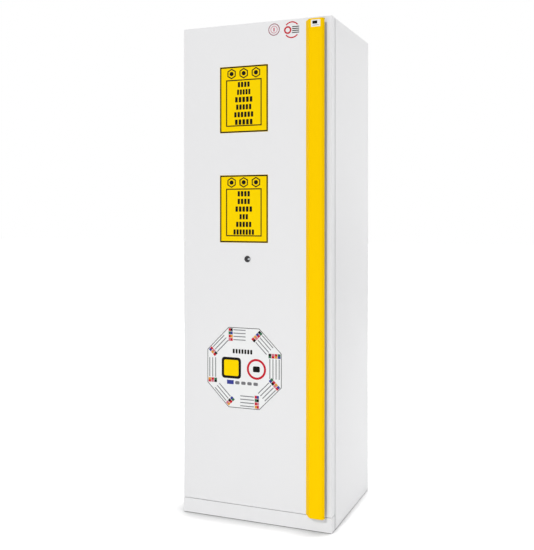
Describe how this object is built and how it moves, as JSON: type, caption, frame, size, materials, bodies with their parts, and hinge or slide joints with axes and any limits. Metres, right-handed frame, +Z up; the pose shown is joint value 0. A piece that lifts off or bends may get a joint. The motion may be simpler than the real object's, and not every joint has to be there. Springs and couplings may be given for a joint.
{
  "type": "chemical storage cabinet",
  "caption": "Tall fire-rated chemical storage cabinet with a hinged insulated door, full-height bar handle, key lock, three lined compartments, trays, sump and ceiling ventilation spigots.",
  "frame": {"origin": "on the floor, at the centre of the cabinet's footprint without its handle and hinge knuckles", "axes": "+X right as seen from the front, +Y to the back, +Z up; the door's front faces -Y"},
  "size_m": [0.6135, 0.547, 1.915],
  "materials": {
    "white_lacquer": "fine satin powder coat",
    "signal_yellow": "satin powder coat on an aluminium profile",
    "grey_liner": "satin melamine-faced board",
    "fire_board": "matte mineral board",
    "dark_paint": "matte paint on welded steel",
    "tray_plastic": "satin moulded polypropylene",
    "duct_plastic": "satin folded polypropylene",
    "zinc_steel": "zinc-plated",
    "bare_steel": "brushed",
    "chrome_plate": "polished plating",
    "black_rubber": "matte gasket",
    "seal_strip": "matte strip that swells in a fire"
  },
  "bodies": {
    "cabinet": {"left_side_panel": "white_lacquer", "right_side_panel": "white_lacquer", "back_panel": "white_lacquer", "top_panel": "white_lacquer", "bottom_pan": "zinc_steel", "front_frame": "white_lacquer", "frame_seal": "seal_strip", "plinth_panel": "white_lacquer", "base_frame": "dark_paint", "left_board": "fire_board", "right_board": "fire_board", "back_board": "fire_board", "top_board": "fire_board", "bottom_board": "fire_board", "left_liner": "grey_liner", "right_liner": "grey_liner", "back_liner": "grey_liner", "top_liner": "grey_liner", "bottom_liner": "grey_liner", "lower_divider": "grey_liner", "upper_divider": "grey_liner", "lock_keeper": "zinc_steel", "acid_tray_lower": "tray_plastic", "acid_tray_upper": "tray_plastic", "base_tray_lower": "tray_plastic", "base_tray_upper": "tray_plastic", "flammables_shelf": "zinc_steel", "sump_tray": "zinc_steel", "sump_grid": "zinc_steel", "exhaust_duct": "duct_plastic", "supply_duct": "duct_plastic", "exhaust_plenum_box": "duct_plastic", "supply_plenum_box": "duct_plastic", "exhaust_spigot": "bare_steel", "supply_spigot": "bare_steel", "hinge_lower_frame_leaf": "bare_steel", "hinge_lower_pin": "chrome_plate", "hinge_middle_frame_leaf": "bare_steel", "hinge_middle_pin": "chrome_plate", "hinge_upper_frame_leaf": "bare_steel", "hinge_upper_pin": "chrome_plate"},
    "door": {"door_outer_skin": "white_lacquer", "door_core": "fire_board", "door_inner_panel": "white_lacquer", "door_gasket": "black_rubber", "handle_profile": "signal_yellow", "handle_cap_top": "signal_yellow", "handle_cap_bottom": "signal_yellow", "lock_housing": "bare_steel", "hinge_lower_door_leaf": "bare_steel", "hinge_middle_door_leaf": "bare_steel", "hinge_upper_door_leaf": "bare_steel"},
    "lock": {"lock_cylinder": "chrome_plate", "lock_cam": "zinc_steel"},
    "exhaust_damper": {"exhaust_flap": "bare_steel"},
    "supply_damper": {"supply_flap": "bare_steel"},
    "levelling_foot_front_left": {"foot_front_left": "zinc_steel"},
    "levelling_foot_front_right": {"foot_front_right": "zinc_steel"},
    "levelling_foot_rear_left": {"foot_rear_left": "zinc_steel"},
    "levelling_foot_rear_right": {"foot_rear_right": "zinc_steel"}
  },
  "joints": [
    {"name": "door_hinge", "type": "hinge", "parent": "cabinet", "child": "door", "pos_m": [-0.307, -0.215, 0.963], "axis": [0, 0, -1], "range_deg": [0, 110], "stiffness_Nm_per_rad": 8, "springref_deg": -17.19},
    {"name": "lock_turn", "type": "hinge", "parent": "door", "child": "lock", "pos_m": [-0.031, -0.236, 0.984], "axis": [0, 1, 0], "range_deg": [0, 90]},
    {"name": "exhaust_flap_turn", "type": "hinge", "parent": "cabinet", "child": "exhaust_damper", "pos_m": [0.11, 0.148, 1.865], "axis": [1, 0, 0], "range_deg": [0, 90]},
    {"name": "supply_flap_turn", "type": "hinge", "parent": "cabinet", "child": "supply_damper", "pos_m": [-0.11, 0.148, 1.865], "axis": [1, 0, 0], "range_deg": [0, 90]},
    {"name": "foot_front_left_screw", "type": "slide", "parent": "cabinet", "child": "levelling_foot_front_left", "axis": [0, 0, -1], "range_m": [0, 0.015]},
    {"name": "foot_front_right_screw", "type": "slide", "parent": "cabinet", "child": "levelling_foot_front_right", "axis": [0, 0, -1], "range_m": [0, 0.015]},
    {"name": "foot_rear_left_screw", "type": "slide", "parent": "cabinet", "child": "levelling_foot_rear_left", "axis": [0, 0, -1], "range_m": [0, 0.015]},
    {"name": "foot_rear_right_screw", "type": "slide", "parent": "cabinet", "child": "levelling_foot_rear_right", "axis": [0, 0, -1], "range_m": [0, 0.015]}
  ]
}
